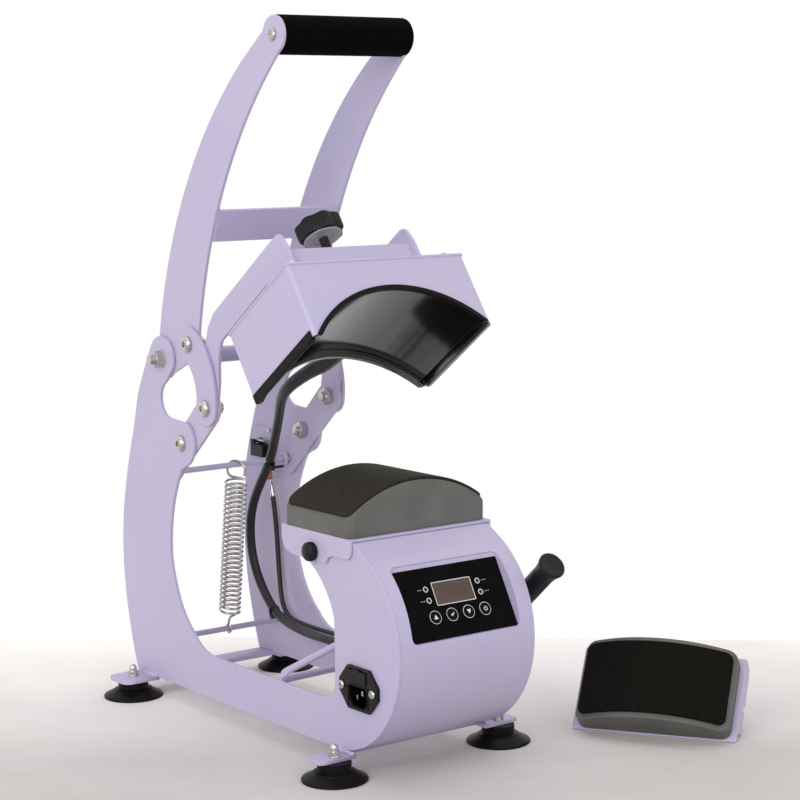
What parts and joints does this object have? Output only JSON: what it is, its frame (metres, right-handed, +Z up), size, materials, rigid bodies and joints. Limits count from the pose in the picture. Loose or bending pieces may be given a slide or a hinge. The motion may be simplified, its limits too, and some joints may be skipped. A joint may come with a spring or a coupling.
{
  "type": "cap heat press",
  "caption": "Bench cap heat press: sheet steel frame with a control drum, toggle handle, curved heated platen and curved lower platens.",
  "frame": {"origin": "on the bench at the middle of the four suction feet", "axes": "+X to the operator's right, -Y towards the operator, +Z up; levers stored open"},
  "size_m": [0.3799, 0.4846, 0.585],
  "materials": {
    "lavender_paint": "satin powder coat",
    "black_rubber": "matte",
    "foam": "matte closed-cell foam",
    "zinc_steel": "zinc plated",
    "black_panel": "gloss",
    "display": "gloss",
    "board_green": "solder mask",
    "black_plastic": "fine texture",
    "key_black": "gloss with a pale ring",
    "cable_sleeve": "matte",
    "hot_coating": "smooth dark non-stick coating",
    "mica": "matte",
    "insulation": "felt",
    "grey_base": "fine texture",
    "pad_rubber": "matte silicone sponge"
  },
  "bodies": {
    "frame": {"side_plate_left": "lavender_paint", "side_plate_right": "lavender_paint", "foot_strips": "lavender_paint", "suction_feet": "black_rubber", "foot_fixings": "zinc_steel", "drum_cover": "lavender_paint", "drum_back_plate": "lavender_paint", "control_panel": "black_panel", "display_and_leds": "display", "control_board": "board_green", "inlet_body": "black_plastic", "inlet_pins": "zinc_steel", "cross_bars": "lavender_paint", "frame_screws": "zinc_steel", "side_grip": "black_plastic", "pivot_bolts": "zinc_steel", "return_spring": "zinc_steel", "cable_slack": "cable_sleeve", "cable_lower": "cable_sleeve", "cable_grommet": "black_plastic", "switch_lead": "cable_sleeve", "microswitch": "black_plastic", "lower_bracket": "lavender_paint", "lower_base": "grey_base", "lower_pad": "pad_rubber"},
    "handle": {"handle_arm_left": "lavender_paint", "handle_arm_right": "lavender_paint", "handle_crossbar": "lavender_paint", "pivot_tube": "lavender_paint", "grip_foam": "foam", "grip_rod_and_screws": "zinc_steel", "handle_link_nuts": "zinc_steel"},
    "platen_arm": {"platen_arm_left": "lavender_paint", "platen_arm_right": "lavender_paint", "arm_cross_plate": "lavender_paint", "tail_rod": "lavender_paint", "link_foot_screws": "zinc_steel", "cable_upper": "cable_sleeve"},
    "links": {"link_left": "lavender_paint", "link_right": "lavender_paint", "link_head_screws": "zinc_steel"},
    "heated_platen": {"platen_housing": "lavender_paint", "edge_trim": "black_plastic", "heated_plate": "hot_coating", "heating_element": "mica", "insulation_pad": "insulation", "housing_screws": "zinc_steel"},
    "pressure_screw": {"pressure_stud": "zinc_steel", "pressure_knob": "black_plastic"},
    "spare_platen": {"spare_bracket": "lavender_paint", "spare_base": "grey_base", "spare_pad": "pad_rubber"},
    "thumbscrew_left": {"thumbscrew_left": "black_plastic"},
    "thumbscrew_right": {"thumbscrew_right": "black_plastic"},
    "key_1": {"key_1": "key_black"},
    "key_2": {"key_2": "key_black"},
    "key_3": {"key_3": "key_black"},
    "key_4": {"key_4": "key_black"},
    "fuse_drawer": {"fuse_drawer": "black_plastic"},
    "microswitch_lever": {"microswitch_lever": "black_plastic"}
  },
  "joints": [
    {"name": "handle_swing", "type": "hinge", "parent": "frame", "child": "handle", "pos_m": [0, 0.118, 0.303], "axis": [1, 0, 0], "range_deg": [0, 55], "stiffness_Nm_per_rad": 9.6, "springref_deg": -24.98},
    {"name": "platen_arm_swing", "type": "hinge", "parent": "frame", "child": "platen_arm", "pos_m": [0, 0.087, 0.233], "axis": [1, 0, 0], "range_deg": [0, 35.2], "deforming": ["return_spring", "cable_slack"]},
    {"name": "link_swing", "type": "hinge", "parent": "platen_arm", "child": "links", "pos_m": [0, 0.046, 0.267], "axis": [1, 0, 0], "range_deg": [-59.2, 0]},
    {"name": "platen_feed", "type": "slide", "parent": "platen_arm", "child": "heated_platen", "axis": [0, -0.5736, -0.8192], "range_m": [0, 0.0025]},
    {"name": "pressure_screw_turn", "type": "hinge", "parent": "heated_platen", "child": "pressure_screw", "pos_m": [0, -0.03602, 0.40948], "axis": [0, 0.5736, 0.8192], "range_deg": [0, 720]},
    {"name": "spare_platen_lift", "type": "slide", "parent": "frame", "child": "spare_platen", "axis": [0, 0, 1], "range_m": [0, 0.15]},
    {"name": "thumbscrew_left_turn", "type": "hinge", "parent": "frame", "child": "thumbscrew_left", "pos_m": [-0.07, -0.1145, 0.1706], "axis": [-1, 0, 0], "range_deg": [0, 360]},
    {"name": "thumbscrew_right_turn", "type": "hinge", "parent": "frame", "child": "thumbscrew_right", "pos_m": [0.07, -0.1145, 0.1706], "axis": [1, 0, 0], "range_deg": [0, 360]},
    {"name": "key_1_press", "type": "slide", "parent": "frame", "child": "key_1", "axis": [0, 0.8746, -0.4848], "range_m": [0, 0.0006], "stiffness_N_per_m": 900, "springref_m": -0.0002},
    {"name": "key_2_press", "type": "slide", "parent": "frame", "child": "key_2", "axis": [0, 0.8746, -0.4848], "range_m": [0, 0.0006], "stiffness_N_per_m": 900, "springref_m": -0.0002},
    {"name": "key_3_press", "type": "slide", "parent": "frame", "child": "key_3", "axis": [0, 0.8746, -0.4848], "range_m": [0, 0.0006], "stiffness_N_per_m": 900, "springref_m": -0.0002},
    {"name": "key_4_press", "type": "slide", "parent": "frame", "child": "key_4", "axis": [0, 0.8746, -0.4848], "range_m": [0, 0.0006], "stiffness_N_per_m": 900, "springref_m": -0.0002},
    {"name": "fuse_drawer_slide", "type": "slide", "parent": "frame", "child": "fuse_drawer", "axis": [-1, 0, 0], "range_m": [0, 0.018]},
    {"name": "switch_lever_press", "type": "hinge", "parent": "frame", "child": "microswitch_lever", "pos_m": [0.057, 0.161, 0.2155], "axis": [1, 0, 0], "range_deg": [0, 5], "stiffness_Nm_per_rad": 0.02, "springref_deg": -2.86}
  ],
  "couplings": [
    {"joint": "platen_arm_swing", "follows": "handle_swing", "ratio": 0.63636},
    {"joint": "link_swing", "follows": "handle_swing", "ratio": -1.0665},
    {"joint": "pressure_screw_turn", "follows": "platen_feed", "rad_per_m": 5026.5}
  ]
}
